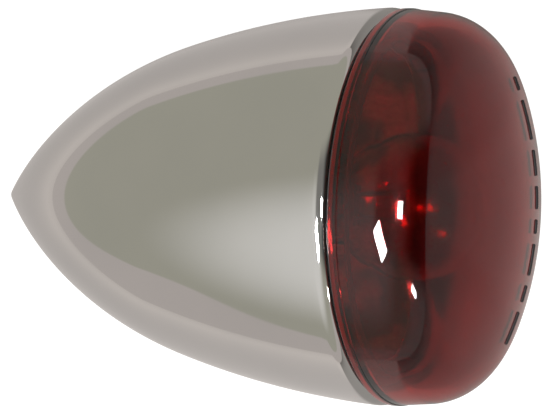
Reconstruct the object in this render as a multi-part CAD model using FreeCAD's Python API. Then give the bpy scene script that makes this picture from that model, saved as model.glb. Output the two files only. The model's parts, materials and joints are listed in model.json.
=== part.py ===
"""Bullet turn signal for a motorcycle, millimetres.

The lamp's axis runs along X at AXIS_Z, with the lens facing +X. The stem hangs below it on the Z axis, and the
origin is the centre of the stem's seat, where its thread starts.
"""

import FreeCAD, Part
import math
import os

V = FreeCAD.Vector

# Lamp
RIM_R = 35.0  # housing's rim, 70 mm across
RIM_X = 30.0
AXIS_Z = 42.0
WALL = 2.5
RIM_ROUND_R = 2.4
RIM_ROUND_X = 27.95  # centre of the rim's round

# Housing's outline: two arcs and a rounded nose, each tangent to the next
RIM_SLOPE = math.radians(2.57)
FRONT_ARC_R = 156.4
FRONT_ARC_LENGTH = 39.15
REAR_ARC_R = 75.5
NOSE_R = 1.7

# Mouth of the housing
BORE_R = 31.8
SEAT_R = 33.5
SEAT_DEPTH = 0.5
LUG_COUNT = 3
LUG_WIDTH = 5.4
LUG_R = 32.8
LUG_SLOT_R = 33.0
DRAIN_R = 1.5
DRAIN_X = 22.0
PRY_NOTCH = (1.2, 8.0, 1.8)  # depth, width and height

# Lens
LENS_DEPTH = 22.2
LENS_WALL = 2.5
FACE_R = 66.2
CORNER_R = 10.9
DRAFT = math.radians(5.6)
FLANGE_R = 34.8
FLANGE_BACK_X = RIM_X + 0.5
FLANGE_FRONT_X = RIM_X + 2.1
SIDE_WALL_R = 34.65  # at the front of the flange
SKIRT_R = 31.6
SKIRT_INNER_R = 29.6
SKIRT_END_X = RIM_X - 5.5
MARK_SPANS = (6, 3, 5.5, 2.5, 4, 4.5, 7, 2.5)  # degrees
MARK_GAP = 1.7
MARK_DROP = 10.5  # below the lamp's axis
MARK_TILT = math.radians(54)  # of the marks' own axis, from the lamp's
MARK_WIRE_R = 0.5

# Stem
COLLAR_FLATS = 17.0
COLLAR_TOP = 5.0
SHANK_R = 5.0
SHANK_LENGTH = 20.0
SHANK_CHAMFER = 1.0
WIRE_BORE_R = 3.2
SPIGOT_R = 6.5
SPIGOT_TOP = 23.0
WASHER_TOP = 6.0
BOSS_BOTTOM = 6.05
BOSS_TOP = 20.0
BOSS_R = 10.0
BOSS_TOP_R = 11.5
BOSS_BORE_R = 6.55
SCREW_GROOVE = (5.0, 7.7, 12.3)  # radius, bottom and top
O_RING_GROOVE = (4.9, 14.5, 16.5)
CLIP_GROOVE = (5.6, 20.05, 20.95)
SET_SCREW_R = 2.0
SET_SCREW_Z = 10.0

# Socket
STRAP_BACK_X = -4.2
STRAP_FRONT_X = -3.0
STRAP_R = 26.4
STRAP_HALF_HEIGHT = 13.0
POST_Y = 22.5
POST_R = 4.0
STRAP_SCREW_R = 1.75
RIVET_R = 1.3
RIVET_Z = 11.0
SOCKET_BORE_R = 7.75
SOCKET_R = 8.55
SOCKET_MOUTH_X = 8.0
SOCKET_REAR_X = -18.8
SOCKET_FLANGE_R = 13.5
SOCKET_FLANGE_T = 0.8
BACK_DISC_REAR_X = -18.0
BACK_DISC_FRONT_X = -16.0
CARRIER_REAR_X = -9.4
CARRIER_FRONT_X = -7.4
CARRIER_R = 7.5
SPRING_R = 5.5
SPRING_WIRE_R = 0.4
SPRING_TURNS = 4

# Bulb
CONTACT_Z = 3.9
CONTACT_FACE_X = -5.8
CONTACT_GAP = 0.1
INSULATOR_REAR_X = -5.2
INSULATOR_FRONT_X = -2.0
BASE_REAR_X = -4.6
BASE_FRONT_X = 13.2
BASE_R = 7.55
BASE_WALL = 0.35
PIN_R = 1.0
PIN_END_R = 8.75
PINS = ((1, 2.2), (-1, 5.2))  # side of the base, X
GLASS_R = 13.0
GLASS_CENTRE_X = 32.0
GLASS_NECK_R = 7.15
GLASS_FILLET_R = 5.0
GLASS_REAR_X = 11.0
GLASS_WALL = 0.6
FILAMENTS = {"filament_turn": (33.5, 1.3, 3.0), "filament_running": (31.0, -1.5, 2.6)}  # X, Z, half length

# Bayonet: the bulb goes in by PRESS while it turns by TWIST
PRESS = 2.0
TWIST = math.radians(20)
SLOT_CLEARANCE = 0.2


def at(x, r):
    """Point on an outline that is turned about the lamp's axis."""
    return V(x, 0, AXIS_Z + r)


def line(a, b):
    return Part.LineSegment(at(*a), at(*b)).toShape()


def arc(centre, radius, start, end):
    """Arc about centre; angles are measured from the axis towards the rim, in radians."""
    points = []
    for angle in (start, (start + end) / 2, end):
        points.append(at(centre[0] + radius * math.cos(angle), centre[1] + radius * math.sin(angle)))
    return Part.Arc(*points).toShape()


def turned(edges):
    """Solid of revolution about the lamp's axis."""
    face = Part.Face(Part.Wire(Part.__sortEdges__(edges)))
    return face.revolve(V(0, 0, AXIS_Z), V(1, 0, 0), 360)


def rod(x0, x1, radius, y=0.0, z=0.0):
    """Cylinder along X, y and z from the lamp's axis."""
    return Part.makeCylinder(radius, x1 - x0, V(x0, y, AXIS_Z + z), V(1, 0, 0))


def tube(x0, x1, inner, outer):
    return rod(x0, x1, outer).cut(rod(x0, x1, inner))


def block(x0, x1, y0, y1, z0, z1):
    """Box with z measured from the lamp's axis."""
    return Part.makeBox(x1 - x0, y1 - y0, z1 - z0, V(x0, y0, AXIS_Z + z0))


def column(z0, z1, radius):
    """Cylinder on the stem's axis."""
    return Part.makeCylinder(radius, z1 - z0, V(0, 0, z0))


def ring(z0, z1, inner, outer):
    return column(z0, z1, outer).cut(column(z0, z1, inner))


def wire_between(start, end, radius):
    run = end.sub(start)
    return Part.makeCylinder(radius, run.Length, start, run)


def about_axis(shape, degrees):
    copy = shape.copy()
    copy.rotate(V(0, 0, AXIS_Z), V(1, 0, 0), degrees)
    return copy


def fused(shapes):
    return shapes[0].fuse(shapes[1:]).removeSplitter()


def ogive(inset):
    """Solid inside the housing's outline, moved in by inset. The outline itself has a rounded rim and nose."""
    front = (RIM_X + FRONT_ARC_R * math.sin(RIM_SLOPE), RIM_R - FRONT_ARC_R * math.cos(RIM_SLOPE))
    joint = math.asin(math.sin(RIM_SLOPE) + FRONT_ARC_LENGTH / FRONT_ARC_R)
    shift = FRONT_ARC_R - REAR_ARC_R
    rear = (front[0] - shift * math.sin(joint), front[1] + shift * math.cos(joint))
    middle = math.pi / 2 + joint
    if inset == 0:
        reach = FRONT_ARC_R - RIM_ROUND_R
        start = math.pi / 2 + math.asin((front[0] - RIM_ROUND_X) / reach)
        rounding = (RIM_ROUND_X, front[1] + reach * math.sin(start))
        rim_angle = math.acos((RIM_X - RIM_ROUND_X) / RIM_ROUND_R)
        rim = (RIM_X, rounding[1] + RIM_ROUND_R * math.sin(rim_angle))
        edges = [arc(front, FRONT_ARC_R, start, middle), arc(rounding, RIM_ROUND_R, rim_angle, start)]
        tip_angle = math.acos(-rear[1] / (REAR_ARC_R - NOSE_R))
        centre_x = rear[0] - (REAR_ARC_R - NOSE_R) * math.sin(tip_angle)
        end = math.pi / 2 + tip_angle
        edges.append(arc(rear, REAR_ARC_R, middle, end))
        edges.append(arc((centre_x, 0), NOSE_R, end, math.pi))
        tip = (centre_x - NOSE_R, 0)
    else:
        start = math.pi / 2 + math.asin((front[0] - RIM_X) / (FRONT_ARC_R - inset))
        rim = (RIM_X, front[1] + (FRONT_ARC_R - inset) * math.sin(start))
        edges = [arc(front, FRONT_ARC_R - inset, start, middle)]
        end = math.pi / 2 + math.acos(-rear[1] / (REAR_ARC_R - inset))
        edges.append(arc(rear, REAR_ARC_R - inset, middle, end))
        tip = (rear[0] + (REAR_ARC_R - inset) * math.cos(end), 0)
    edges.append(line(tip, (RIM_X, 0)))
    edges.append(line((RIM_X, 0), rim))
    return turned(edges)


def housing_shell():
    outer = ogive(0)
    hollow = ogive(WALL).common(rod(-60, RIM_X, BORE_R))
    shell = outer.cut(hollow)
    boss = Part.makeCone(BOSS_R, BOSS_TOP_R, BOSS_TOP - BOSS_BOTTOM, V(0, 0, BOSS_BOTTOM))
    posts = [rod(-30, STRAP_BACK_X, POST_R, y).common(outer) for y in (-POST_Y, POST_Y)]
    shell = fused([shell, boss] + posts)
    cuts = [column(0, BOSS_TOP + 1, BOSS_BORE_R)]
    cuts += [rod(STRAP_BACK_X - 6, STRAP_BACK_X, STRAP_SCREW_R, y) for y in (-POST_Y, POST_Y)]
    cuts.append(rod(RIM_X - SEAT_DEPTH, RIM_X + 1, SEAT_R))
    lug_slot = block(SKIRT_END_X - 0.2, RIM_X + 1, -LUG_WIDTH / 2 - 0.3, LUG_WIDTH / 2 + 0.3, 0, LUG_SLOT_R)
    cuts += [about_axis(lug_slot, i * 360 / LUG_COUNT) for i in range(LUG_COUNT)]
    cuts.append(Part.makeCylinder(DRAIN_R, 10, V(DRAIN_X, 0, AXIS_Z - RIM_R - 1)))
    depth, width, height = PRY_NOTCH
    cuts.append(block(RIM_X - depth, RIM_X + 1, -width / 2, width / 2, -RIM_R - 1, -RIM_R + height))
    cuts.append(Part.makeCylinder(SET_SCREW_R, BOSS_R + 2, V(-BOSS_R - 2, 0, SET_SCREW_Z), V(1, 0, 0)))
    return shell.cut(cuts[0].fuse(cuts[1:])).removeSplitter()


def lens_corner():
    """Centre of the arc that joins the lens's side to its face, and the face sphere's centre."""
    face = (RIM_X + LENS_DEPTH - FACE_R, 0)
    side = (FLANGE_FRONT_X - CORNER_R * math.sin(DRAFT), SIDE_WALL_R - CORNER_R * math.cos(DRAFT))
    run = (math.cos(DRAFT), -math.sin(DRAFT))
    dx = side[0] - face[0]
    half = dx * run[0] + side[1] * run[1]
    rest = dx * dx + side[1] * side[1] - (FACE_R - CORNER_R) ** 2
    along = -half + math.sqrt(half * half - rest)
    return (side[0] + along * run[0], side[1] + along * run[1]), face


def lens_outline(inset):
    """Edges from the lens's side wall to its tip, moved in by inset, and the wall's start and the tip."""
    corner, face = lens_corner()
    blend = math.atan2(corner[1], corner[0] - face[0])
    radius = CORNER_R - inset
    top = math.pi / 2 - DRAFT
    wall_end = (corner[0] + radius * math.cos(top), corner[1] + radius * math.sin(top))
    start_x = FLANGE_FRONT_X + (0.5 if inset else 0)
    wall_start = (start_x, wall_end[1] + (wall_end[0] - start_x) * math.tan(DRAFT))
    edges = [line(wall_start, wall_end), arc(corner, radius, top, blend), arc(face, FACE_R - inset, blend, 0)]
    return edges, wall_start, (face[0] + FACE_R - inset, 0)


def lens_marks():
    """Raised dashes in a shallow arc across the lens's face, below its centre."""
    _, face = lens_corner()
    face_centre = at(*face)
    reach = FACE_R - MARK_WIRE_R / 3
    middle = V(math.sqrt(reach ** 2 - MARK_DROP ** 2), 0, -MARK_DROP)
    axis = V(math.cos(MARK_TILT), 0, math.sin(MARK_TILT))
    centre = face_centre.add(V(axis).multiply(middle.dot(axis)))
    section = Part.Face(Part.Wire(Part.makeCircle(MARK_WIRE_R, face_centre.add(middle), V(0, 1, 0))))
    marks = []
    angle = -(sum(MARK_SPANS) + MARK_GAP * (len(MARK_SPANS) - 1)) / 2
    for span in MARK_SPANS:
        mark = section.revolve(centre, axis, span)
        mark.rotate(centre, axis, angle)
        marks.append(mark)
        angle += span + MARK_GAP
    return marks


def lens():
    outer, outer_start, outer_tip = lens_outline(0)
    inner, inner_start, inner_tip = lens_outline(LENS_WALL)
    step = [
        inner_start,
        (inner_start[0], SKIRT_INNER_R),
        (SKIRT_END_X, SKIRT_INNER_R),
        (SKIRT_END_X, SKIRT_R),
        (FLANGE_BACK_X, SKIRT_R),
        (FLANGE_BACK_X, FLANGE_R),
        (FLANGE_FRONT_X, FLANGE_R),
        outer_start,
    ]
    edges = outer + inner + [line(a, b) for a, b in zip(step, step[1:])] + [line(outer_tip, inner_tip)]
    lug = block(SKIRT_END_X + 0.5, FLANGE_BACK_X - 1.9, -LUG_WIDTH / 2, LUG_WIDTH / 2, SKIRT_INNER_R + 1, LUG_R)
    lugs = [about_axis(lug, i * 360 / LUG_COUNT) for i in range(LUG_COUNT)]
    return fused([turned(edges)] + lugs + lens_marks())


def lens_gasket():
    return tube(RIM_X - SEAT_DEPTH + 0.02, FLANGE_BACK_X, SKIRT_R + 0.05, SEAT_R - 0.1)


def mount_stem():
    corners = [V(COLLAR_FLATS / math.sqrt(3), 0, 0)]
    for i in range(1, 7):
        turn = FreeCAD.Rotation(V(0, 0, 1), 60 * i)
        corners.append(turn.multVec(corners[0]))
    collar = Part.Face(Part.makePolygon(corners)).extrude(V(0, 0, COLLAR_TOP))
    chamfer = Part.makeCone(SHANK_R - SHANK_CHAMFER, SHANK_R, SHANK_CHAMFER, V(0, 0, -SHANK_LENGTH))
    shank = column(SHANK_CHAMFER - SHANK_LENGTH, 0, SHANK_R)
    stem = fused([collar, shank, chamfer, column(COLLAR_TOP, SPIGOT_TOP, SPIGOT_R)])
    for radius, bottom, top in (SCREW_GROOVE, O_RING_GROOVE, CLIP_GROOVE):
        stem = stem.cut(ring(bottom, top, radius, SPIGOT_R + 1))
    return stem.cut(column(-SHANK_LENGTH - 1, SPIGOT_TOP + 1, WIRE_BORE_R))


def stem_washer():
    return ring(COLLAR_TOP, WASHER_TOP, SPIGOT_R + 0.1, 9.4)


def stem_o_ring():
    groove_r, bottom, top = O_RING_GROOVE
    wire_r = (SPIGOT_R - groove_r) / 2 - 0.02
    return Part.makeTorus((SPIGOT_R + groove_r) / 2, wire_r, V(0, 0, (bottom + top) / 2))


def stem_retaining_ring():
    groove_r, bottom, top = CLIP_GROOVE
    clip = ring(bottom + 0.05, top - 0.05, groove_r, 8.5)
    return clip.cut(Part.makeBox(10, 6, 2, V(-10, -3, bottom - 0.5)))


def wire_grommet():
    body = column(-SHANK_LENGTH, -14, WIRE_BORE_R - 0.05)
    flange = column(-SHANK_LENGTH - 1.2, -SHANK_LENGTH, 3.9)
    return fused([body, flange]).cut(column(-SHANK_LENGTH - 2, -13, 1.8))


def stem_set_screw():
    tip_x = -SCREW_GROOVE[0] - 0.2
    head_x = -BOSS_R + 0.4
    screw = Part.makeCylinder(SET_SCREW_R - 0.02, tip_x - head_x - 0.5, V(head_x, 0, SET_SCREW_Z), V(1, 0, 0))
    tip = Part.makeCone(SET_SCREW_R - 0.02, 1.4, 0.5, V(tip_x - 0.5, 0, SET_SCREW_Z), V(1, 0, 0))
    corners = [V(head_x, 1.15 * math.sin(i * math.pi / 3), SET_SCREW_Z + 1.15 * math.cos(i * math.pi / 3))
               for i in range(7)]
    key = Part.Face(Part.makePolygon(corners)).extrude(V(2, 0, 0))
    return fused([screw, tip]).cut(key)


def socket_strap():
    strap = block(STRAP_BACK_X, STRAP_FRONT_X, -30, 30, -STRAP_HALF_HEIGHT, STRAP_HALF_HEIGHT)
    strap = strap.common(rod(STRAP_BACK_X, STRAP_FRONT_X, STRAP_R))
    holes = [rod(STRAP_BACK_X, STRAP_FRONT_X, SOCKET_R + 0.1)]
    holes += [rod(STRAP_BACK_X, STRAP_FRONT_X, STRAP_SCREW_R + 0.2, y) for y in (-POST_Y, POST_Y)]
    holes += [rod(STRAP_BACK_X, STRAP_FRONT_X, RIVET_R, 0, z) for z in (-RIVET_Z, RIVET_Z)]
    return strap.cut(holes)


def strap_screws():
    screws = []
    for y in (-POST_Y, POST_Y):
        shank = rod(STRAP_BACK_X - 5.5, STRAP_FRONT_X, STRAP_SCREW_R - 0.03, y)
        head = rod(STRAP_FRONT_X + 0.6, STRAP_FRONT_X + 2.6, 3.3, y)
        head = head.makeFillet(0.8, [e for e in head.Edges if e.BoundBox.XMin > STRAP_FRONT_X + 2])
        neck = rod(STRAP_FRONT_X, STRAP_FRONT_X + 0.6, STRAP_SCREW_R - 0.03, y)
        recess = [block(STRAP_FRONT_X + 1.4, STRAP_FRONT_X + 3, y - a, y + a, -b, b) for a, b in ((1.8, 0.4), (0.4, 1.8))]
        screws.append(fused([shank, neck, head]).cut(recess))
    return Part.makeCompound(screws)


def strap_washers():
    washers = []
    for y in (-POST_Y, POST_Y):
        outer = rod(STRAP_FRONT_X, STRAP_FRONT_X + 0.6, 3.5, y)
        teeth = []
        for i in range(10):
            angle = i * math.pi / 5
            teeth.append(rod(STRAP_FRONT_X, STRAP_FRONT_X + 0.6, 0.45, y + 3.5 * math.cos(angle), 3.5 * math.sin(angle)))
        washers.append(outer.cut(teeth + [rod(STRAP_FRONT_X, STRAP_FRONT_X + 0.6, STRAP_SCREW_R + 0.1, y)]))
    return Part.makeCompound(washers)


def bayonet_slot(side, pin_x):
    """Slanted slot from the pin's seat to its pressed place, then straight out of the socket's mouth."""
    half = PIN_R + SLOT_CLEARANCE
    reach = (SOCKET_R + SOCKET_BORE_R) / 2 * math.sin(TWIST / 2)
    seat = V(pin_x, reach, 0)
    pressed = V(pin_x - PRESS, -reach, 0)
    mouth = V(SOCKET_MOUTH_X + half, -reach, 0)
    pieces = [Part.makeCylinder(half, 4, V(p.x, p.y, SOCKET_BORE_R - 1.5)) for p in (seat, pressed)]
    for start, end in ((seat, pressed), (pressed, mouth)):
        run = end.sub(start)
        across = V(-run.y, run.x, 0)
        across.multiply(half / run.Length)
        corners = [start.add(across), end.add(across), end.sub(across), start.sub(across), start.add(across)]
        base = Part.Face(Part.makePolygon(corners))
        base.translate(V(0, 0, SOCKET_BORE_R - 1.5))
        pieces.append(base.extrude(V(0, 0, 4)))
    slot = pieces[0].fuse(pieces[1:])
    slot.translate(V(0, 0, AXIS_Z))
    return about_axis(slot, -side * 90 + math.degrees(TWIST) / 2)


def socket_shell():
    body = tube(SOCKET_REAR_X, SOCKET_MOUTH_X, SOCKET_BORE_R, SOCKET_R)
    flange = tube(STRAP_FRONT_X, STRAP_FRONT_X + SOCKET_FLANGE_T, SOCKET_R - 0.4, SOCKET_FLANGE_R)
    lip = tube(SOCKET_REAR_X, BACK_DISC_REAR_X, 6.8, SOCKET_R - 0.4)
    shell = fused([body, flange, lip])
    cuts = [bayonet_slot(side, x) for side, x in PINS]
    cuts += [rod(STRAP_FRONT_X - 1, STRAP_FRONT_X + 2, RIVET_R, 0, z) for z in (-RIVET_Z, RIVET_Z)]
    return shell.cut(cuts)


def ground_blade():
    foot = block(STRAP_BACK_X - 0.8, STRAP_BACK_X, -3.15, 3.15, 8.8, 14.2)
    blade = block(STRAP_BACK_X - 12, STRAP_BACK_X, -3.15, 3.15, 13.4, 14.2)
    hole = rod(STRAP_BACK_X - 1, STRAP_BACK_X, RIVET_R, 0, RIVET_Z)
    eye = Part.makeCylinder(0.9, 3, V(STRAP_BACK_X - 9.5, 0, AXIS_Z + 12.5))
    return fused([foot, blade]).cut([hole, eye])


def socket_rivets():
    rivets = []
    for z, rear_x in ((RIVET_Z, STRAP_BACK_X - 0.8), (-RIVET_Z, STRAP_BACK_X)):
        front_x = STRAP_FRONT_X + SOCKET_FLANGE_T
        shank = rod(rear_x, front_x, RIVET_R, 0, z)
        heads = [rod(rear_x - 0.7, rear_x, 2.1, 0, z), rod(front_x, front_x + 0.7, 2.1, 0, z)]
        rivets.append(fused([shank] + heads))
    return Part.makeCompound(rivets)


def socket_back_disc():
    disc = rod(BACK_DISC_REAR_X, BACK_DISC_FRONT_X, SOCKET_BORE_R - 0.05)
    return disc.cut([rod(BACK_DISC_REAR_X, BACK_DISC_FRONT_X, 1.3, 0, z) for z in (-CONTACT_Z, CONTACT_Z)])


def contact_carrier():
    carrier = rod(CARRIER_REAR_X, CARRIER_FRONT_X, CARRIER_R)
    rib = block(CARRIER_FRONT_X, CARRIER_FRONT_X + 0.9, -4.5, 4.5, -0.5, 0.5)
    holes = [rod(CARRIER_REAR_X, CARRIER_FRONT_X, 1.0, 0, z) for z in (-CONTACT_Z, CONTACT_Z)]
    return fused([carrier, rib]).cut(holes)


def contact_pins():
    pins = []
    for z in (-CONTACT_Z, CONTACT_Z):
        head = rod(CARRIER_FRONT_X, CONTACT_FACE_X - CONTACT_GAP, 1.8, 0, z)
        neck = rod(CARRIER_REAR_X, CARRIER_FRONT_X, 1.0, 0, z)
        tail = rod(BACK_DISC_REAR_X - 5, CARRIER_REAR_X, 0.8, 0, z)
        pins.append(fused([head, neck, tail]))
    return Part.makeCompound(pins)


def contact_spring():
    """Turns drawn as closed coils between the back disc and the carrier."""
    room = CARRIER_REAR_X - BACK_DISC_FRONT_X - 2 * SPRING_WIRE_R
    coils = []
    for i in range(SPRING_TURNS):
        x = BACK_DISC_FRONT_X + SPRING_WIRE_R + room * i / (SPRING_TURNS - 1)
        coils.append(Part.makeTorus(SPRING_R, SPRING_WIRE_R, V(x, 0, AXIS_Z), V(1, 0, 0)))
    return Part.makeCompound(coils)


def bulb_base():
    shell = tube(BASE_REAR_X, BASE_FRONT_X, BASE_R - BASE_WALL, BASE_R)
    collar = tube(BASE_FRONT_X - 0.8, BASE_FRONT_X, BASE_R - BASE_WALL, BASE_R + 0.35)
    holes = [about_axis(Part.makeCylinder(PIN_R, 4, V(x, 0, AXIS_Z + 5)), -side * 90) for side, x in PINS]
    return fused([shell, collar]).cut(holes)


def bayonet_pins():
    pins = []
    for side, x in PINS:
        pin = Part.makeCylinder(PIN_R, PIN_END_R - 6.4, V(x, 0, AXIS_Z + 6.4))
        pins.append(about_axis(pin, -side * 90))
    return Part.makeCompound(pins)


def bulb_insulator():
    rear = Part.makeCone(6.3, BASE_R - BASE_WALL, BASE_REAR_X - INSULATOR_REAR_X, V(INSULATOR_REAR_X, 0, AXIS_Z),
                         V(1, 0, 0))
    return fused([rear, rod(BASE_REAR_X, INSULATOR_FRONT_X, BASE_R - BASE_WALL)])


def bulb_contacts():
    return Part.makeCompound([rod(CONTACT_FACE_X, INSULATOR_REAR_X, 2.0, 0, z) for z in (-CONTACT_Z, CONTACT_Z)])


def glass_skin(inset):
    """Solid inside the bulb's outline, moved in by inset: neck, fillet and ball."""
    fillet_r = GLASS_FILLET_R + inset
    rise = GLASS_NECK_R + GLASS_FILLET_R
    reach = math.sqrt((GLASS_R + GLASS_FILLET_R) ** 2 - rise ** 2)
    fillet = (GLASS_CENTRE_X - reach, rise)
    meet = math.atan2(rise, -reach)
    neck_r = GLASS_NECK_R - inset
    tip = (GLASS_CENTRE_X + GLASS_R - inset, 0)
    edges = [line((GLASS_REAR_X, neck_r), (fillet[0], neck_r))]
    edges.append(arc(fillet, fillet_r, -math.pi / 2, meet - math.pi))
    edges.append(arc((GLASS_CENTRE_X, 0), GLASS_R - inset, meet, 0))
    edges.append(line(tip, (GLASS_REAR_X, 0)))
    edges.append(line((GLASS_REAR_X, 0), (GLASS_REAR_X, neck_r)))
    return turned(edges)


def bulb_glass():
    return glass_skin(0).cut(glass_skin(GLASS_WALL))


def glass_stem():
    flare = Part.makeCone(6.4, 2.6, 5, V(GLASS_REAR_X, 0, AXIS_Z), V(1, 0, 0))
    press = block(16, 22, -3.6, 3.6, -1.3, 1.3)
    return fused([flare, rod(16, 19, 2.6), press])


def filament(x, z, half_length):
    return Part.makeCylinder(0.35, 2 * half_length, V(x, -half_length, AXIS_Z + z), V(0, 1, 0))


def support_wires():
    wires = []
    for x, z, half_length in FILAMENTS.values():
        for side in (-1, 1):
            foot = V(22, side * (half_length - 0.8), AXIS_Z + z * 0.4)
            head = V(x - 0.36, side * (half_length - 0.1), AXIS_Z + z)
            wires.append(wire_between(foot, head, 0.22))
    return Part.makeCompound(wires)


NODES = [
    housing_shell, lens, lens_gasket,
    mount_stem, stem_washer, stem_o_ring, stem_retaining_ring, wire_grommet, stem_set_screw,
    socket_strap, strap_screws, strap_washers, socket_shell, ground_blade, socket_rivets, socket_back_disc,
    contact_carrier, contact_pins, contact_spring,
    bulb_base, bayonet_pins, bulb_insulator, bulb_contacts, bulb_glass, glass_stem, support_wires,
]

os.makedirs("parts", exist_ok=True)
for make in NODES:
    make().exportStep("parts/" + make.__name__ + ".step")
for name, place in FILAMENTS.items():
    filament(*place).exportStep("parts/" + name + ".step")
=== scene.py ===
import json
import math
import bpy
from mathutils import Matrix, Vector


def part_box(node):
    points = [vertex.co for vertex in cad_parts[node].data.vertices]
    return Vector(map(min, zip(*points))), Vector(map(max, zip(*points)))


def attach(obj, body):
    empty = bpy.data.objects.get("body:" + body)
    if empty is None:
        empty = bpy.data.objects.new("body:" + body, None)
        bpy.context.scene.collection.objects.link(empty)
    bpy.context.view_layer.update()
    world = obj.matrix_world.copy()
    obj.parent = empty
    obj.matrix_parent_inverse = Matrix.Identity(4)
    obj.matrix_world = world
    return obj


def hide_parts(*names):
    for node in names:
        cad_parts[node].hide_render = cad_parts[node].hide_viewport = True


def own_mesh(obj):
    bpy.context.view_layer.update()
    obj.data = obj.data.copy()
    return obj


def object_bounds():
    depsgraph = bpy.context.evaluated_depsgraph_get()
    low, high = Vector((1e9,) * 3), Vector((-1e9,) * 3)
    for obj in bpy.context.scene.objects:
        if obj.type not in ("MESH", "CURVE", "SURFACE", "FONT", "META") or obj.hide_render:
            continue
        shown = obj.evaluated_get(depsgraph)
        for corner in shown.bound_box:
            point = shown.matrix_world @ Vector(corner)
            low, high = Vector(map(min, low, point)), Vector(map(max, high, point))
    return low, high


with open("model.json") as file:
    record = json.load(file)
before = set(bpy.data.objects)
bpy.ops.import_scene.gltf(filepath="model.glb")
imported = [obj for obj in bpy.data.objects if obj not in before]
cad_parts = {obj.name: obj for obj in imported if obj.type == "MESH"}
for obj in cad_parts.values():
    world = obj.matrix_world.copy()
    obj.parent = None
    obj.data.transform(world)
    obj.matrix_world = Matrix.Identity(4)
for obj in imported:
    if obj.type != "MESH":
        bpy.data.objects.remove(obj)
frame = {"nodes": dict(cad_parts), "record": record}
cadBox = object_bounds()
nodes = frame["nodes"]
print("frame loaded")

mm = 0.001
lensLow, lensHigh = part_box("lens")
axisZ = (lensLow.z + lensHigh.z) / 2
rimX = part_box("housing_shell")[1].x / mm
lensTipX = lensHigh.x / mm
lampAxis = Vector((0, 0, axisZ))  # the point of the lamp's axis above the stem
along = Vector((1, 0, 0))
up = Vector((0, 0, 1))
turnedGap = mm / 500  # points nearer than this are one, in a turned outline


# helpers for modelling

def lampPoint(x, r):  # mm along the lamp's axis and out from it
    return Vector((x * mm, 0, axisZ + r * mm))


def stemPoint(z, r):  # mm up the stem's axis and out from it
    return Vector((r * mm, 0, z * mm))


def only(piece):
    bpy.ops.object.select_all(action="DESELECT")
    piece.select_set(True)
    bpy.context.view_layer.objects.active = piece


def editMode():
    bpy.ops.object.mode_set(mode="EDIT")
    bpy.ops.mesh.select_mode(type="VERT")


def objectMode():
    bpy.ops.object.mode_set(mode="OBJECT")


def settle(piece, name):  # leaves the piece's place in its mesh
    only(piece)
    bpy.ops.object.transform_apply(location=True, rotation=True, scale=True)
    piece.name = name
    piece.data.name = name
    return piece


def smooth(piece, degrees):
    only(piece)
    bpy.ops.object.shade_smooth_by_angle(angle=math.radians(degrees))


def applyAll(piece):
    only(piece)
    for modifier in list(piece.modifiers):
        bpy.ops.object.modifier_apply(modifier=modifier.name)


def closeUp(gap=0, holes=0):  # in edit mode: merges doubles, fills the ends and turns the faces outwards
    if gap:
        bpy.ops.mesh.select_all(action="SELECT")
        bpy.ops.mesh.remove_doubles(threshold=gap)
    if holes:
        bpy.ops.mesh.select_all(action="SELECT")
        bpy.ops.mesh.fill_holes(sides=holes)
    bpy.ops.mesh.select_all(action="SELECT")
    bpy.ops.mesh.normals_make_consistent(inside=False)


def startPoint(point):  # a plane collapsed into one vertex, left in edit mode
    bpy.ops.object.select_all(action="DESELECT")
    bpy.ops.mesh.primitive_plane_add(size=mm)
    editMode()
    bpy.ops.mesh.select_all(action="SELECT")
    bpy.ops.mesh.merge(type="CENTER")
    bpy.ops.transform.translate(value=point)
    return bpy.context.object


def drawOutline(start, moves):
    # draws lines ("to", point) and arcs ("round", centre, degrees, steps) in the XZ plane, + from +X to +Z
    piece = startPoint(start)
    here = start.copy()
    for move in moves:
        if move[0] == "to":
            bpy.ops.mesh.extrude_vertices_move(TRANSFORM_OT_translate={"value": move[1] - here})
            here = move[1].copy()
        else:
            _, centre, degrees, steps = move
            bpy.ops.mesh.spin(steps=steps, angle=math.radians(degrees), center=centre, axis=(0, 1, 0))
            turn = Matrix.Rotation(-math.radians(degrees), 3, "Y")
            here = centre + turn @ (here - centre)
    return piece


def turnOutline(name, start, moves, centre, axis, steps):
    piece = drawOutline(start, moves)
    bpy.ops.mesh.select_all(action="SELECT")
    bpy.ops.mesh.spin(steps=steps, angle=math.tau, center=centre, axis=axis, use_auto_merge=True)
    closeUp(turnedGap)
    objectMode()
    return settle(piece, name)


def bar(start, end, radius, sides=48):
    run = end - start
    bpy.ops.object.select_all(action="DESELECT")
    bpy.ops.mesh.primitive_cylinder_add(vertices=sides, radius=radius * mm, depth=run.length,
                                        location=(start + end) / 2,
                                        rotation=run.to_track_quat("Z", "Y").to_euler())
    return settle(bpy.context.object, "bar")


def block(low, high, half):  # between two points of the middle plane, and half mm to each side of it
    side = Vector((0, half * mm, 0))
    bpy.ops.object.select_all(action="DESELECT")
    bpy.ops.mesh.primitive_cube_add(size=1, location=(low + high) / 2, scale=high - low + 2 * side)
    return settle(bpy.context.object, "block")


def carve(piece, tool, operation="DIFFERENCE"):
    cut = piece.modifiers.new("carve", "BOOLEAN")
    cut.operation = operation
    cut.object = tool
    cut.solver = "MANIFOLD"
    applyAll(piece)
    bpy.data.objects.remove(tool)


def bevelEdges(piece, width, segments, degrees):
    edges = piece.modifiers.new("edges", "BEVEL")
    edges.width = width * mm
    edges.segments = segments
    edges.limit_method = "ANGLE"
    edges.angle_limit = math.radians(degrees)
    applyAll(piece)


def windUp(piece, axis, pitch, turns, steps):
    wind = piece.modifiers.new("wind", "SCREW")
    wind.axis = axis
    wind.screw_offset = pitch * mm
    wind.iterations = turns
    wind.steps = steps
    wind.render_steps = steps
    applyAll(piece)


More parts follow.
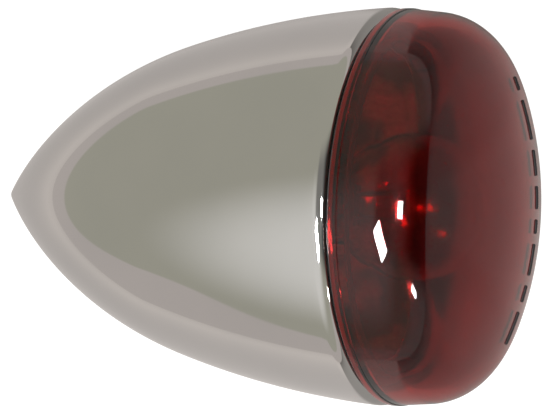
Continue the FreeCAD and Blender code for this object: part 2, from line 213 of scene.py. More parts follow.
def pressOnto(piece, chosen, target, axis, forwards, gap):
    # moves the chosen points along X or Z onto the target, and stops short of it by gap
    group = piece.vertex_groups.new(name="moved")
    group.add([v.index for v in piece.data.vertices if chosen(v.co / mm)], 1.0, "REPLACE")
    wrap = piece.modifiers.new("wrap", "SHRINKWRAP")
    wrap.target = target
    wrap.wrap_method = "PROJECT"
    wrap.use_project_x = axis == "X"
    wrap.use_project_z = axis == "Z"
    wrap.use_positive_direction = forwards
    wrap.use_negative_direction = not forwards
    wrap.offset = gap * mm
    wrap.vertex_group = group.name
    applyAll(piece)
    piece.vertex_groups.clear()


def turnedCopy(piece, degrees, centre, axis):
    copy = piece.copy()
    copy.data = piece.data.copy()
    bpy.context.scene.collection.objects.link(copy)
    copy.matrix_world = (Matrix.Translation(centre) @ Matrix.Rotation(math.radians(degrees), 4, axis)
                         @ Matrix.Translation(-centre))
    return settle(copy, piece.name)


def copiesAround(piece, count):  # around the lamp's axis, in place of the piece
    copies = [turnedCopy(piece, i * 360 / count, lampAxis, "X") for i in range(count)]
    bpy.data.objects.remove(piece)
    return copies


def joined(pieces, name):
    bpy.ops.object.select_all(action="DESELECT")
    for piece in pieces:
        piece.select_set(True)
    bpy.context.view_layer.objects.active = pieces[0]
    bpy.ops.object.join()
    return settle(pieces[0], name)


# shader maths

class Shade:  # a node's socket, with arithmetic
    def __init__(self, tree, socket):
        self.tree = tree
        self.socket = socket

    def make(self, kind, settings, inputs, output=0):
        node = self.tree.nodes.new(kind)
        for name, value in settings.items():
            setattr(node, name, value)
        for key, value in inputs.items():
            if isinstance(value, Shade):
                self.tree.links.new(value.socket, node.inputs[key])
            else:
                node.inputs[key].default_value = value
        return Shade(self.tree, node.outputs[output])

    def maths(self, operation, first, second=0.0):
        return self.make("ShaderNodeMath", {"operation": operation}, {0: first, 1: second})

    def __add__(self, other):
        return self.maths("ADD", self, other)

    def __sub__(self, other):
        return self.maths("SUBTRACT", self, other)

    def __rsub__(self, other):
        return self.maths("SUBTRACT", other, self)

    def __mul__(self, other):
        return self.maths("MULTIPLY", self, other)

    def __rmul__(self, other):
        return self.maths("MULTIPLY", other, self)

    def __truediv__(self, other):
        return self.maths("DIVIDE", self, other)

    def root(self):
        return self.maths("SQRT", self)

    def unsigned(self):
        return self.maths("ABSOLUTE", self)

    def exponential(self):
        return self.maths("EXPONENT", self)

    def ease(self, low, high, out=(0.0, 1.0)):  # smooth step from low to high
        return self.make("ShaderNodeMapRange", {"interpolation_type": "SMOOTHSTEP"},
                         {"Value": self, "From Min": low, "From Max": high,
                          "To Min": out[0], "To Max": out[1]})

    def tint(self, first, second):  # self is the share of the second colour
        ends = [end if isinstance(end, Shade) else (*end, 1) for end in (first, second)]
        return self.make("ShaderNodeMix", {"data_type": "RGBA"}, {0: self, 6: ends[0], 7: ends[1]}, 2)

    def axes(self):
        return [self.make("ShaderNodeSeparateXYZ", {}, {0: self}, i) for i in range(3)]

    def dot(self, direction):
        return self.make("ShaderNodeVectorMath", {"operation": "DOT_PRODUCT"}, {0: self, 1: direction}, 1)

    def scaled(self, scale):
        return self.make("ShaderNodeMapping", {}, {"Vector": self, "Scale": scale})

    def noise(self, scale, detail, roughness):
        return self.make("ShaderNodeTexNoise", {},
                         {"Vector": self, "Scale": scale, "Detail": detail, "Roughness": roughness})

    def bump(self, strength, distance):  # self is the height
        return self.make("ShaderNodeBump", {}, {"Strength": strength, "Distance": distance, "Height": self})


def newFinish(name, **constants):  # a Principled material, its constants set on its sockets
    material = bpy.data.materials.new(name)
    material.use_nodes = True
    shader = material.node_tree.nodes["Principled BSDF"]
    for key, value in constants.items():
        shader.inputs[key.replace("_", " ")].default_value = value
    spot = Shade(material.node_tree, None).make("ShaderNodeTexCoord", {}, {}, 3)
    return material, shader, spot


def feed(shader, **links):
    for key, value in links.items():
        value.tree.links.new(value.socket, shader.inputs[key.replace("_", " ")])


# finishes

chrome = {
    "clear": (0.555, 0.552, 0.545), "hazy": (0.535, 0.535, 0.53), "haze": 45, "specks": 2600,
    "polish": (0.035, 0.075), "speckRough": 0.05, "hazeRelief": 0.03, "relief": 0.00002,
}
casting = {
    "light": (0.74, 0.73, 0.72), "dark": (0.60, 0.59, 0.58), "cloud": (0.13, 0.125, 0.12),
    "grain": 900, "clouds": 46, "cloudEdge": (0.44, 0.58), "rough": (0.42, 0.6), "metallic": 0.25,
    "grainRelief": 0.6, "start": (1.3, 1.7),  # mm below the outside
}
plastic = {
    "thin": (0.54, 0.026, 0.023), "deep": (0.46, 0.020, 0.020), "flow": 38, "polish": (0.02, 0.06),
    "ripple": (0.04, 0.00004), "frost": 0.10,
    "frostDepth": (2.0, 1.2), "frostStart": (40.0, 42.0),  # mm below the face, and along the lamp
}


def metalFinish(name, bright, dull, rough, grain, pits=0.00002, stretch=(1, 1, 1)):
    material, shader, spot = newFinish(name, Metallic=1.0)
    laid = spot.scaled(stretch)
    cloudy = laid.noise(grain, 4.0, 0.6)
    fine = laid.noise(grain * 9, 2.0, 0.5)
    feed(shader,
         Base_Color=cloudy.ease(0.35, 0.75).tint(bright, dull),
         Roughness=(cloudy * 0.6 + fine * 0.4).ease(0.3, 0.7, rough),
         Normal=fine.bump(0.25, pits))
    return material


def plating(spot, c):  # haze, colour and roughness of the chrome
    haze = spot.noise(c["haze"], 3.0, 0.55)
    specks = spot.noise(c["specks"], 1.0, 0.5).ease(0.70, 0.80)
    return (haze, haze.ease(0.3, 0.7).tint(c["clear"], c["hazy"]),
            haze.ease(0.35, 0.75, c["polish"]) + specks * c["speckRough"])


def chromeFinish(name, c):
    material, shader, spot = newFinish(name, Metallic=1.0)
    haze, colour, polish = plating(spot, c)
    feed(shader, Base_Color=colour, Roughness=polish, Normal=haze.bump(c["hazeRelief"], c["relief"]))
    return material


def housingFinish(name, c, bare, arcs, meetX):  # chrome outside, the bare casting inside
    material, shader, spot = newFinish(name)
    haze, plated, polish = plating(spot, c)
    x, y, z = spot.axes()
    z = z - axisZ
    r = (y * y + z * z).root()
    depths = []
    for (arcX, arcR), radius in arcs:
        dx, dr = x - arcX * mm, r - arcR * mm
        depths.append(radius * mm - (dx * dx + dr * dr).root())
    front, rear = depths
    depth = rear + x.ease(meetX * mm - mm, meetX * mm + mm) * (front - rear)
    inside = depth.ease(*[edge * mm for edge in bare["start"]])
    grain = spot.noise(bare["grain"], 3.0, 0.6)
    clouds = spot.noise(bare["clouds"], 3.0, 0.55).ease(*bare["cloudEdge"])
    cast = clouds.tint(grain.ease(0.3, 0.7).tint(bare["light"], bare["dark"]), bare["cloud"])
    rough = grain.ease(0.3, 0.7, bare["rough"])
    feed(shader,
         Base_Color=inside.tint(plated, cast),
         Metallic=1 - inside * (1 - bare["metallic"]),
         Roughness=polish + inside * (rough - polish),
         Normal=(haze * c["hazeRelief"] + inside * grain * bare["grainRelief"]).bump(1.0, c["relief"]))
    return material


def plasticFinish(name, p, face):  # the red lens, clear all through, and frosted on the inside of its face
    material, shader, spot = newFinish(name, IOR=1.49, Transmission_Weight=1.0)
    flow = spot.noise(p["flow"], 2.0, 0.5)
    x, y, z = spot.axes()
    dx, dz = x - (lensTipX - face) * mm, z - axisZ
    reach = (dx * dx + y * y + dz * dz).root()
    deep, shallow = p["frostDepth"]
    frost = (reach.ease((face - deep) * mm, (face - shallow) * mm, (1.0, 0.0))
             * x.ease(*[edge * mm for edge in p["frostStart"]]))
    feed(shader,
         Base_Color=flow.ease(0.3, 0.7).tint(p["thin"], p["deep"]),
         Roughness=flow.ease(0.35, 0.8, p["polish"]) + frost * p["frost"],
         Normal=flow.bump(*p["ripple"]))
    return material


def glassFinish(name, clear, smoked, edge):
    material, shader, spot = newFinish(name, IOR=1.5, Transmission_Weight=1.0)
    breath = spot.noise(120, 2.0, 0.5)
    feed(shader,
         Base_Color=spot.axes()[0].ease(*edge).tint(smoked, clear),
         Roughness=breath.ease(0.4, 0.8, (0.01, 0.05)))
    return material


def dullFinish(name, light, dark, rough, grain, relief, stretch=(1, 1, 1), **constants):
    material, shader, spot = newFinish(name, **constants)
    laid = spot.scaled(stretch)
    cloudy = laid.noise(grain, 4.0, 0.6)
    fine = laid.noise(grain * 6, 2.0, 0.6)
    feed(shader,
         Base_Color=cloudy.ease(0.3, 0.7).tint(dark, light),
         Roughness=cloudy.ease(0.3, 0.7, rough),
         Normal=fine.bump(0.35, relief))
    return material


finishes = {  # the housing's and the lens's are added with those pieces
    "chrome_stem": chromeFinish("chromeStem", chrome),
    "black_rubber": dullFinish("blackRubber", (0.035, 0.034, 0.033), (0.014, 0.014, 0.015), (0.55, 0.8),
                               260, 0.00006),
    "zinc_steel": metalFinish("zincPlate", (0.66, 0.67, 0.66), (0.52, 0.51, 0.46), (0.24, 0.42), 220,
                              stretch=(1, 1, 0.35)),
    "black_steel": metalFinish("blackOxide", (0.06, 0.06, 0.065), (0.12, 0.11, 0.10), (0.32, 0.5), 400),
    "spring_steel": metalFinish("springWire", (0.50, 0.50, 0.50), (0.33, 0.31, 0.29), (0.2, 0.38), 500),
    "brass": metalFinish("brassStrip", (0.80, 0.60, 0.29), (0.52, 0.36, 0.17), (0.22, 0.42), 260),
    "brass_base": metalFinish("brassBase", (0.84, 0.68, 0.38), (0.62, 0.46, 0.23), (0.14, 0.32), 240,
                              stretch=(0.4, 1, 1)),
    "phenolic": dullFinish("brownBoard", (0.21, 0.105, 0.052), (0.115, 0.052, 0.026), (0.4, 0.6),
                           420, 0.00003, stretch=(4, 1, 0.5)),
    "black_glass": dullFinish("blackGlass", (0.016, 0.015, 0.02), (0.006, 0.006, 0.008), (0.06, 0.16),
                              350, 0.00001, Coat_Weight=0.5),
    "solder": metalFinish("solderDrops", (0.70, 0.70, 0.69), (0.50, 0.50, 0.49), (0.28, 0.5), 900,
                          pits=0.00005),
    "clear_glass": glassFinish("bulbGlass", (0.98, 0.985, 0.98), (0.80, 0.79, 0.77), (0.012, 0.022)),
    "lead_wire": metalFinish("leadWire", (0.62, 0.58, 0.52), (0.42, 0.38, 0.34), (0.25, 0.4), 900),
    "tungsten": metalFinish("tungstenWire", (0.32, 0.32, 0.34), (0.20, 0.20, 0.21), (0.35, 0.5), 1500),
}


def finishPiece(piece, body, slot, *replaced, finish=None):
    piece.data.materials.clear()
    piece.data.materials.append(finish or finishes[slot])
    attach(piece, body)
    if replaced:
        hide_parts(*replaced)


print("finishes mixed")


# housing, with its boss and posts

housing = {
    "rimR": 35.0, "rimSlope": 2.57, "frontArc": 156.4, "frontLength": 39.15, "rearArc": 75.5, "nose": 1.7,
    "wall": 2.5, "bore": 31.8, "boreEdge": 0.3, "seat": 33.5, "seatDepth": 0.5, "seatEdge": 0.12,
    "rimRound": (2.4, 27.95),  # radius, and its centre along the lamp
    "lugSlot": (5.7, 3.0, 33.0, 27.8), "lugs": 3,  # depth, half width, outer and inner radius
    "drain": (1.5, 22.0, 8.0),  # radius, place, depth
    "notch": (1.2, 4.0, 1.8),  # depth, half width, height
    "stemHole": (8.05, 17.0),  # radius, top
    "sides": 180, "cutPast": 1.0,
}
boss = {
    "radius": 10.0, "bottom": 6.05, "top": 20.0, "topR": 11.5, "bore": 6.55, "boreEdge": 0.3,
    "footRound": 0.5, "topEdge": 0.4, "waist": (14.0, 11.8), "sides": 96,
    "fillet": 2.0, "filletSteps": 6, "ringGap": 0.05, "ringTop": 8.5, "sunk": 0.05,
    "setScrew": (2.0, 10.0, 14.0),  # radius, height, how far out its hole starts
}
post = {
    "radius": 4.0, "out": 22.5, "face": -4.2, "length": 1.1, "sunk": 0.8,
    "hole": (1.75, 6.0),  # radius, depth
}


def housingArcs(h):  # the two arcs of the housing's outline, and how far they lean where they meet
    slope = math.radians(h["rimSlope"])
    front = (rimX + h["frontArc"] * math.sin(slope), h["rimR"] - h["frontArc"] * math.cos(slope))
    meet = math.asin(math.sin(slope) + h["frontLength"] / h["frontArc"])
    shift = h["frontArc"] - h["rearArc"]
    rear = (front[0] - shift * math.sin(meet), front[1] + shift * math.cos(meet))
    return front, rear, meet


def makeShell(h):
    front, rear, meet = housingArcs(h)
    tip = math.acos(-rear[1] / (h["rearArc"] - h["nose"]))
    noseX = rear[0] - (h["rearArc"] - h["nose"]) * math.sin(tip)
    # the rim's round runs on from the front arc and ends at the rim's flat
    rimRound, roundX = h["rimRound"]
    reach = h["frontArc"] - rimRound
    lean = math.asin((front[0] - roundX) / reach)
    roundR = front[1] + reach * math.cos(lean)
    rimEnd = math.acos((rimX - roundX) / rimRound)
    # inside, the same arcs moved in by the wall
    inFront = h["frontArc"] - h["wall"]
    inTip = math.acos(-rear[1] / (h["rearArc"] - h["wall"]))
    boreLean = math.acos((h["bore"] - front[1]) / inFront)
    seatX = rimX - h["seatDepth"]
    moves = [
        ("round", lampPoint(noseX, 0), -math.degrees(math.pi / 2 - tip), 8),
        ("round", lampPoint(*rear), -math.degrees(tip - meet), 44),
        ("round", lampPoint(*front), -math.degrees(meet - lean), 40),
        ("round", lampPoint(roundX, roundR), -math.degrees(math.pi / 2 + lean - rimEnd), 16),
        ("to", lampPoint(rimX, h["seat"] + h["seatEdge"])),
        ("to", lampPoint(rimX - h["seatEdge"], h["seat"])),
        ("to", lampPoint(seatX, h["seat"])),
        ("to", lampPoint(seatX, h["bore"] + h["boreEdge"])),
        ("to", lampPoint(seatX - h["boreEdge"], h["bore"])),
        ("to", lampPoint(front[0] - inFront * math.sin(boreLean), h["bore"])),
        ("round", lampPoint(*front), math.degrees(meet - boreLean), 24),
        ("round", lampPoint(*rear), math.degrees(inTip - meet), 28),
    ]
    return turnOutline("housing", lampPoint(noseX - h["nose"], 0), moves, lampAxis, along, h["sides"])


def cutShell(h, shell):
    past = h["cutPast"]
    deep, half, outR, inR = h["lugSlot"]
    slot = block(lampPoint(rimX - deep, inR), lampPoint(rimX + past, outR), half)
    for turned in copiesAround(slot, h["lugs"]):
        carve(shell, turned)
    radius, x, deep = h["drain"]
    carve(shell, bar(lampPoint(x, -h["rimR"] - past), lampPoint(x, deep - h["rimR"]), radius, 32))
    deep, half, tall = h["notch"]
    carve(shell, block(lampPoint(rimX - deep, -h["rimR"] - past),
                       lampPoint(rimX + past, tall - h["rimR"]), half))
    radius, top = h["stemHole"]
    carve(shell, bar(stemPoint(0, 0), stemPoint(top, 0), radius, 64))


def makeBoss(b, shell):
    bottom, top, bore, edge = b["bottom"], b["top"], b["bore"], b["boreEdge"]
    foot = b["footRound"]
    rings = []
    for i in range(b["filletSteps"] + 1):
        angle = math.pi / 2 * i / b["filletSteps"]
        rings.append((b["radius"] + b["fillet"] * (1 - math.cos(angle)),
                      b["fillet"] * (1 - math.sin(angle))))
    moves = [
        ("to", stemPoint(bottom, bore + edge)),
        ("to", stemPoint(bottom, b["radius"] - foot)),
        ("round", stemPoint(bottom + foot, b["radius"] - foot), 90, 5),
    ]
    moves += [("to", stemPoint(bottom + 2 * foot + b["ringGap"] * i, r)) for i, (r, _) in enumerate(rings)]
    moves += [
        ("to", stemPoint(*b["waist"])),
        ("to", stemPoint(top - b["topEdge"], b["topR"])),
        ("to", stemPoint(top, b["topR"] - b["topEdge"])),
        ("to", stemPoint(top, bore + edge)),
        ("to", stemPoint(top - edge, bore)),
        ("to", stemPoint(bottom + edge, bore)),
    ]
    tube = turnOutline("boss", stemPoint(bottom + edge, bore), moves, Vector(), up, b["sides"])
    # each ring of the fillet goes up onto the shell, less its own height, and the last one into it
    rings[-1] = (rings[-1][0], -b["sunk"])
    for ringR, gap in rings:
        pressOnto(tube, lambda at: abs(math.hypot(at.x, at.y) - ringR) < 0.01 and at.z < b["ringTop"],
                  shell, "Z", True, gap)
    screwR, screwZ, reach = b["setScrew"]
    carve(tube, bar(stemPoint(screwZ, -reach), stemPoint(screwZ, 1 - bore), screwR, 40))
    return tube


def makePosts(p, shell):
    holeR, holeDeep = p["hole"]
    posts = []
    for side in (-1, 1):
        head = Vector((p["face"], side * p["out"], 0)) * mm + lampAxis
        foot = head - along * p["length"] * mm  # still clear of the wall, so that it meets its inside
        stub = bar(foot, head, p["radius"])
        pressOnto(stub, lambda at: at.x < p["face"] - p["length"] / 2, shell, "X", False, -p["sunk"])
        carve(stub, bar(head - along * holeDeep * mm, head + along * mm, holeR, 32))
        posts.append(stub)
    return posts


frontArc, rearArc, _ = housingArcs(housing)
arcs = (frontArc, housing["frontArc"]), (rearArc, housing["rearArc"])
meetX = rimX - housing["frontLength"]
finishes["chrome_housing"] = housingFinish("chromePlate", chrome, casting, arcs, meetX)
shell = makeShell(housing)
cutShell(housing, shell)
shell = joined([shell, makeBoss(boss, shell)] + makePosts(post, shell), "housing")
smooth(shell, 32)
finishPiece(shell, "lamp", "chrome_housing", "housing_shell")
print("housing turned, drilled and given its boss and posts")


# lens, with its lugs and raised dashes

lens = {
    "depth": lensTipX - rimX, "wall": 2.5, "face": 66.2, "corner": 10.9, "draft": 5.6,
    "flange": 34.8, "flangeBack": 0.5, "flangeFront": 2.1, "side": 34.65, "edgeRound": 0.35,
    "skirt": (29.6, 31.6, -5.5),  # inner and outer radius, and its end from the rim
    "skirtEdges": (0.6, 0.4, 0.2), "inside": 0.5, "sideFoot": 0.25, "sides": 180,
    "lip": (0.105, 0.02, 0.03),  # the flange's front edge: its depth, its drop from the side and the flange
    "lug": (2.7, 30.6, 32.8, -5.0, -1.4), "lugs": 3,  # half width, inner and outer radius, back and front
}
dashes = {
    "spans": (6, 3, 5.5, 2.5, 4, 4.5, 7, 2.5), "gap": 1.7, "tilt": 54,  # degrees
    "drop": 10.5, "radius": 0.5, "sides": 14, "stepsPerDegree": 2,
}


def archPoint(centre, radius, degrees):  # degrees from the lamp's axis towards the rim
    angle = math.radians(degrees)
    return centre[0] + radius * math.cos(angle), centre[1] + radius * math.sin(angle)


def lensCorner(s):  # the centres of the rounded corner and of the face
    draft = math.radians(s["draft"])
    face = (rimX + s["depth"] - s["face"], 0)
    sideX = rimX + s["flangeFront"] - s["corner"] * math.sin(draft)
    sideR = s["side"] - s["corner"] * math.cos(draft)
    dx = sideX - face[0]
    half = dx * math.cos(draft) - sideR * math.sin(draft)
    rest = dx * dx + sideR ** 2 - (s["face"] - s["corner"]) ** 2
    run = -half + math.sqrt(half * half - rest)
    return (sideX + run * math.cos(draft), sideR - run * math.sin(draft)), face


def makeLens(s):
    corner, face = lensCorner(s)
    blend = math.degrees(math.atan2(corner[1], corner[0] - face[0]))
    bend = 90 - s["draft"] - blend
    wallRise = math.tan(math.radians(s["draft"]))
    frontX, backX = rimX + s["flangeFront"], rimX + s["flangeBack"]
    skirtIn, skirtOut, skirtX = s["skirt"]
    skirtX += rimX
    longEdge, outEdge, inEdge = s["skirtEdges"]
    inX = frontX + s["inside"]
    innerEnd = archPoint(corner, s["corner"] - s["wall"], 90 - s["draft"])
    innerR = innerEnd[1] + (innerEnd[0] - inX) * wallRise
    edge, foot = s["edgeRound"], s["sideFoot"]
    lip, sideDrop, flangeDrop = s["lip"]
    moves = [
        ("round", lampPoint(*face), blend, 30),
        ("round", lampPoint(*corner), bend, 18),
        # down the side, round the flange and back along the skirt
        ("to", lampPoint(frontX + foot, s["side"] - foot * wallRise)),
        ("to", lampPoint(frontX, s["side"] - sideDrop)),
        ("to", lampPoint(frontX - lip, s["flange"] - flangeDrop)),
        ("to", lampPoint(frontX - edge, s["flange"])),
        ("to", lampPoint(backX + edge, s["flange"])),
        ("round", lampPoint(backX + edge, s["flange"] - edge), 90, 5),
        ("to", lampPoint(backX, skirtOut)),
        ("to", lampPoint(skirtX + longEdge, skirtOut)),
        ("to", lampPoint(skirtX, skirtOut - outEdge)),
        ("to", lampPoint(skirtX, skirtIn + inEdge)),
        ("to", lampPoint(skirtX + inEdge, skirtIn)),
        # inside
        ("to", lampPoint(inX, skirtIn)),
        ("to", lampPoint(inX, innerR)),
        ("to", lampPoint(*innerEnd)),
        ("round", lampPoint(*corner), -bend, 16),
        ("round", lampPoint(*face), -blend, 26),
    ]
    cup = turnOutline("lens_cup_shell", lampPoint(lensTipX, 0), moves, lampAxis, along, s["sides"])
    half, inR, outR, back, front = s["lug"]
    lug = block(lampPoint(rimX + back, inR), lampPoint(rimX + front, outR), half)
    for turned in copiesAround(lug, s["lugs"]):
        carve(cup, turned, "UNION")
    smooth(cup, 40)
    return cup


def makeDashes(s, d):
    # a ring of wire pieces on the face, wound about an axis that leans up from the lamp's
    faceCentre = lampPoint(lensCorner(s)[1][0], 0)
    reach = s["face"] - d["radius"] / 3
    middle = Vector((math.sqrt(reach ** 2 - d["drop"] ** 2), 0, -d["drop"])) * mm
    tilt = math.radians(d["tilt"])
    axis = Vector((math.cos(tilt), 0, math.sin(tilt)))
    centre = faceCentre + axis * middle.dot(axis)
    turn = -(sum(d["spans"]) + d["gap"] * (len(d["spans"]) - 1)) / 2
    marks = []
    for span in d["spans"]:
        bpy.ops.object.select_all(action="DESELECT")
        bpy.ops.mesh.primitive_circle_add(vertices=d["sides"], radius=d["radius"] * mm,
                                          location=faceCentre + middle, rotation=(math.pi / 2, 0, 0))
        dash = settle(bpy.context.object, "dash")
        editMode()
        bpy.ops.mesh.select_all(action="SELECT")
        bpy.ops.mesh.spin(steps=int(span * d["stepsPerDegree"]), angle=-math.radians(span),
                          center=centre, axis=axis)
        closeUp(holes=d["sides"])
        objectMode()
        bevelEdges(dash, d["radius"] / 2, 3, 60)
        marks.append(turnedCopy(dash, turn, centre, axis))
        bpy.data.objects.remove(dash)
        turn += span + d["gap"]
    ring = joined(marks, "lens_raised_dashes")
    smooth(ring, 50)
    return ring


finishes["red_lens"] = plasticFinish("redLens", plastic, lens["face"])
# painted shade: the raised dashes are the lens's own red plastic, and this near-black with a low specular
# level paints the dark that refraction at their edges gives them
paintedShadeDashes = dullFinish("paintedShadeDashes", (0.008, 0.007, 0.008), (0.003, 0.003, 0.003), (0.5, 0.7),
                          800, 0.00001, Specular_IOR_Level=0.25)
finishPiece(makeLens(lens), "lens_cup", "red_lens", "lens")
# the dashes take the painted-shade black in place of the lens's red
finishPiece(makeDashes(lens, dashes), "lens_cup", "black_rubber", finish=paintedShadeDashes)
print("lens turned, with its lugs and raised dashes")


# stem, with a cut thread

stem = {
    "flats": 17.0, "collar": 5.0, "length": 20.0, "core": 4.1, "neck": 4.2, "neckStart": -0.8, "bore": 3.2,
    "shankEdges": (0.2, 0.4), "spigot": (6.5, 23.0),  # radius, top
    "grooves": ((5.0, 7.7, 12.3), (4.9, 14.5, 16.5), (5.6, 20.05, 20.95)),  # radius, bottom, top
    "spigotEdge": 0.5, "boreEdge": 0.4, "sides": 96,
    "cornerCut": (1.4, 0.25), "collarEdge": 0.12, "collarBore": 4.15,
    "pitch": 1.5, "crest": 5.0, "crestEdge": 0.08, "root": 4.0, "threadEnds": (0.7, 0.9), "threadSteps": 64,
}


def turnStem(s):
    foot, (spigot, top) = -s["length"], s["spigot"]
    edgeR, edgeZ = s["shankEdges"]
    under = s["collar"] - 1  # the spigot starts inside the collar
    moves = [
        ("to", stemPoint(foot, s["core"] - edgeR)),
        ("to", stemPoint(foot + edgeZ, s["core"])),
        ("to", stemPoint(s["neckStart"], s["core"])),
        ("to", stemPoint(s["neckStart"], s["neck"])),
        ("to", stemPoint(under, s["neck"])),
        ("to", stemPoint(under, spigot)),
    ]
    for radius, low, high in s["grooves"]:
        moves += [("to", stemPoint(low, spigot)), ("to", stemPoint(low, radius)),
                  ("to", stemPoint(high, radius)), ("to", stemPoint(high, spigot))]
    moves += [
        ("to", stemPoint(top - s["spigotEdge"], spigot)),
        ("to", stemPoint(top, spigot - s["spigotEdge"])),
        ("to", stemPoint(top, s["bore"] + s["boreEdge"])),
        ("to", stemPoint(top - s["boreEdge"], s["bore"])),
        ("to", stemPoint(foot, s["bore"])),
    ]
    return turnOutline("shank", stemPoint(foot, s["bore"]), moves, Vector(), up, s["sides"])


def makeCollar(s):  # a hexagon, its corners cut by a bevelled cylinder
    corners = s["flats"] / math.sqrt(3)
    bpy.ops.object.select_all(action="DESELECT")
    bpy.ops.mesh.primitive_cylinder_add(vertices=6, radius=corners * mm, depth=s["collar"] * mm,
                                        location=stemPoint(s["collar"] / 2, 0),
                                        rotation=(0, 0, math.pi / 6))
    hexagon = settle(bpy.context.object, "hexagon")
    cut, past = s["cornerCut"]
    crown = bar(stemPoint(0, 0), stemPoint(s["collar"], 0), corners + past, 96)
    bevelEdges(crown, cut, 1, 30)
    carve(hexagon, crown, "INTERSECT")
    bevelEdges(hexagon, s["collarEdge"], 2, 20)
    carve(hexagon, bar(stemPoint(-1, 0), stemPoint(s["collar"] + 1, 0), s["collarBore"], 64))
    return hexagon


def makeThread(s):  # the ridge's section, wound up the shank
    pitch, crest, root, edge = s["pitch"], s["crest"], s["root"], s["crestEdge"]
    below, above = s["threadEnds"]
    low = below - s["length"]
    corners = ((0.36, crest - edge), (0.42, crest), (0.52, crest), (0.58, crest - edge), (0.94, root),
               (0, root))  # shares of the pitch, and radii
    moves = [("to", stemPoint(low + pitch * share, radius)) for share, radius in corners]
    ridge = drawOutline(stemPoint(low, root), moves)
    closeUp(turnedGap)
    objectMode()
    windUp(ridge, "Z", pitch, int((s["length"] - below - above) / pitch), s["threadSteps"])
    editMode()
    closeUp(mm / 1000, 8)
    objectMode()
    return ridge


stemPiece = joined([turnStem(stem), makeCollar(stem), makeThread(stem)], "stem_threaded")
smooth(stemPiece, 28)
finishPiece(stemPiece, "stem", "chrome_stem", "mount_stem")
print("stem turned and threaded")


# bulb glass and filaments

bulb = {
    "ball": 13.0, "centre": 32.0, "neck": 7.15, "fillet": 5.0, "rear": 11.0, "wall": 0.6, "sides": 128,
    "coilWire": 0.055, "coilR": 0.29, "coilPitch": 0.17, "coilSides": 6, "coilSteps": 14,
    # along the lamp, up from its axis, and half the length
    "coils": {"filament_turn": (33.5, 1.3, 3.0), "filament_running": (31.0, -1.5, 2.6)},
}


def makeGlass(b):
    rise = b["neck"] + b["fillet"]
    reach = math.sqrt((b["ball"] + b["fillet"]) ** 2 - rise ** 2)
    lean = math.degrees(math.atan2(rise, reach))  # from the axis up to the fillet's centre
    ball = lampPoint(b["centre"], 0)
    hollow = lampPoint(b["centre"] - reach, rise)
    inside = b["neck"] - b["wall"]
    moves = [
        ("round", ball, 180 - lean, 48),
        ("round", hollow, lean - 90, 10),
        ("to", lampPoint(b["rear"], b["neck"])),
        ("to", lampPoint(b["rear"], inside)),
        ("to", lampPoint(b["centre"] - reach, inside)),
        ("round", hollow, 90 - lean, 10),
        ("round", ball, lean - 180, 44),
    ]
    tip = lampPoint(b["centre"] + b["ball"], 0)
    glass = turnOutline("bulb_glass_blown", tip, moves, lampAxis, along, b["sides"])
    smooth(glass, 40)
    return glass


def windCoil(name, start, axis, coilR, wireR, pitch, turns, sides, steps):
    # a ring of wire wound along X or Y, from the start on
    across = {"X": (math.pi / 2, 0, 0), "Y": (0, math.pi / 2, 0)}[axis]
    bpy.ops.object.select_all(action="DESELECT")
    bpy.ops.mesh.primitive_circle_add(vertices=sides, radius=wireR * mm, location=(0, 0, coilR * mm),
                                      rotation=across)
    coil = settle(bpy.context.object, name)
    windUp(coil, axis, pitch, turns, steps)
    editMode()
    closeUp(mm / 2000, sides)
    bpy.ops.transform.translate(value=start)
    objectMode()
    smooth(coil, 60)
    return coil


finishPiece(makeGlass(bulb), "bulb", "clear_glass", "bulb_glass")
for node, (x, z, half) in bulb["coils"].items():
    start = Vector((x, -half, z)) * mm + lampAxis
    turns = int(2 * half / bulb["coilPitch"])
    coil = windCoil(node + "_coil", start, "Y", bulb["coilR"], bulb["coilWire"], bulb["coilPitch"],
                    turns, bulb["coilSides"], bulb["coilSteps"])
    finishPiece(coil, "bulb", "tungsten", node)
print("bulb glass blown and filaments wound")


# contact spring

spring = {
    "radius": 5.5, "wire": 0.4, "rear": -16.0, "front": -9.4, "turns": 4, "pressed": 2.0,
    "sides": 14, "steps": 48,
}
springRoom = spring["front"] - spring["rear"]
springPitch = (springRoom - 2 * spring["wire"]) / spring["turns"]
springStart = Vector((spring["rear"] + spring["wire"], 0, 0)) * mm + lampAxis
springCoil = windCoil("contact_spring_wound", springStart, "X", spring["radius"], spring["wire"],
                      springPitch, spring["turns"], spring["sides"], spring["steps"])
finishPiece(springCoil, "lamp", "spring_steel", "contact_spring")
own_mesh(springCoil)
print("contact spring wound")

for part in frame["record"]["subparts"]:
    skin = nodes[part["node"]].data.materials
    skin.clear()
    skin.append(finishes[part["material_slot"]])
print("finishes given to the parts that are kept as they came")


# floor, room and lights

floor = {
    "radius": 0.7, "gap": 0.0002, "centreX": -0.02,
    "paint": (0.12, 0.115, 0.11), "shown": (0.97, 0.97, 0.97),
    "near": (0.05, 0.50), "nearLight": (0.35, 0.32, 0.31), "farLight": (0.66, 0.60, 0.567),
    "front": (0.018, 0.032), "frontLight": (0.18, 0.16, 0.15),
    "beside": (-0.012, 0.010), "aside": (0.022, 0.036), "asideLight": (0.10, 0.09, 0.085),
}
room = {
    "low": (0.52, 0.505, 0.425), "high": (1.0, 0.975, 0.93), "highSide": (-0.171, -0.470, 0.866),
    "highEdge": (0.65, 0.97), "ground": (0.66, 0.60, 0.567), "groundEdge": (-0.012, 0.006),
    "swell": (0.24, -0.62, 0.25),  # height, place and width of the rise in the horizon
    "front": (0.03, 0.028, 0.028), "frontTop": (0.30, 0.29, 0.27), "frontRise": (0.35, 0.75),
    "frontDepth": (-0.05, 0.20), "frontWidth": (0.30, 0.60), "backdrop": (0.93, 0.93, 0.93),
}
windows = {  # degrees round and up from the rim, metres from it, width and height, watts
    "stripWindow": (-56, 67, 0.6, (0.12, 0.22), 8.0),
    "frontWindow": (-2, 43, 0.7, (0.10, 0.10), 3.0),
    "lowWindow": (-36, 12, 0.7, (0.05, 0.09), 1.0),
}


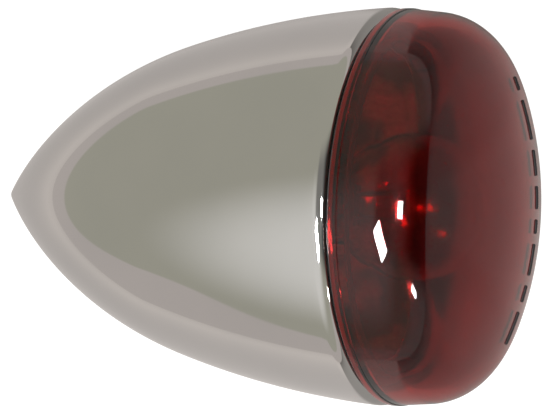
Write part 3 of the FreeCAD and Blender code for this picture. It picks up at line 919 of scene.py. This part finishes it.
def makeFloor(f):
    # pale to the eye; its reflection in the chrome and the lens is dimmer, most of all ahead of the lens
    bpy.ops.object.select_all(action="DESELECT")
    bpy.ops.mesh.primitive_circle_add(vertices=96, radius=f["radius"], fill_type="NGON",
                                      location=(0, 0, cadBox[0].z - f["gap"]))
    disc = bpy.context.object
    disc.name = "floor"
    material, shader, spot = newFinish("paleFloor", Base_Color=(*f["paint"], 1), Roughness=0.8,
                                       Emission_Strength=1.0, Specular_IOR_Level=0.0)
    x, y, _ = spot.axes()
    dx = x - f["centreX"]
    glow = (dx * dx + y * y).root().ease(*f["near"]).tint(f["nearLight"], f["farLight"])
    glow = x.ease(*f["front"]).tint(glow, f["frontLight"])
    glow = (y.unsigned().ease(*f["aside"]) * x.ease(*f["beside"])).tint(glow, f["asideLight"])
    seen = spot.make("ShaderNodeLightPath", {}, {}, 0)
    below = spot.make("ShaderNodeNewGeometry", {}, {}, 6)
    feed(shader, Emission_Color=seen.tint(glow, f["shown"]), Alpha=1 - seen * below)
    disc.data.materials.append(material)


def makeRoom(r):
    world = bpy.data.worlds.new("room")
    bpy.context.scene.world = world
    world.use_nodes = True
    tree = world.node_tree
    way = Shade(tree, None).make("ShaderNodeTexCoord", {}, {}, 0)
    x, y, z = way.axes()
    walls = way.dot(r["highSide"]).ease(*r["highEdge"]).tint(r["low"], r["high"])
    height, place, width = r["swell"]
    swell = (y - place) / width
    low = (z - height * (0 - swell * swell).exponential()).ease(*r["groundEdge"])
    behind = low.tint(r["ground"], walls)
    front = z.ease(*r["frontRise"]).tint(r["front"], r["frontTop"])
    ahead = x.ease(*r["frontDepth"]) * (1 - y.unsigned().ease(*r["frontWidth"]))
    seen = way.make("ShaderNodeLightPath", {}, {}, 0)
    shown = seen.tint(ahead.tint(behind, front), r["backdrop"])
    tree.links.new(shown.socket, tree.nodes["Background"].inputs["Color"])
    tree.nodes["Background"].inputs["Strength"].default_value = 1.0


def direction(azimuth, elevation):
    a, e = math.radians(azimuth), math.radians(elevation)
    return Vector((math.cos(a) * math.cos(e), math.sin(a) * math.cos(e), math.sin(e)))


def makeLight(name, place, target, size, power):
    light = bpy.data.lights.new(name, "AREA")
    light.shape = "RECTANGLE"
    light.size, light.size_y = size
    light.energy = power
    lamp = bpy.data.objects.new(name, light)
    bpy.context.scene.collection.objects.link(lamp)
    lamp.location = place
    lamp.rotation_euler = (place - target).to_track_quat("Z", "Y").to_euler()
    lamp.visible_camera = False


makeFloor(floor)
makeRoom(room)
rimCentre = lampPoint(rimX, 0)
for name, (azimuth, elevation, distance, size, power) in windows.items():
    makeLight(name, rimCentre + direction(azimuth, elevation) * distance, rimCentre, size, power)
print("floor, room and lights set")


# camera, above the rim and leaning a little towards the lens

view = {"lens": 182.7, "sensor": 36, "distance": 0.490, "lean": 21.246, "roll": 1.861, "pan": 2.59}
lean = Matrix.Rotation(math.radians(view["lean"]), 3, "Y")
roll = Matrix.Rotation(math.radians(view["roll"]), 3, "Z")
pan = Matrix.Rotation(math.radians(view["pan"]), 3, "Y")
eye = bpy.data.cameras.new("camera")
eye.lens = view["lens"]
eye.sensor_width = view["sensor"]
camera = bpy.data.objects.new("camera", eye)
bpy.context.scene.collection.objects.link(camera)
camera.location = rimCentre + lean @ Vector((0, 0, view["distance"]))
camera.rotation_euler = (lean @ roll @ pan).to_euler()
bpy.context.scene.camera = camera
bpy.context.scene.view_settings.view_transform = "Standard"
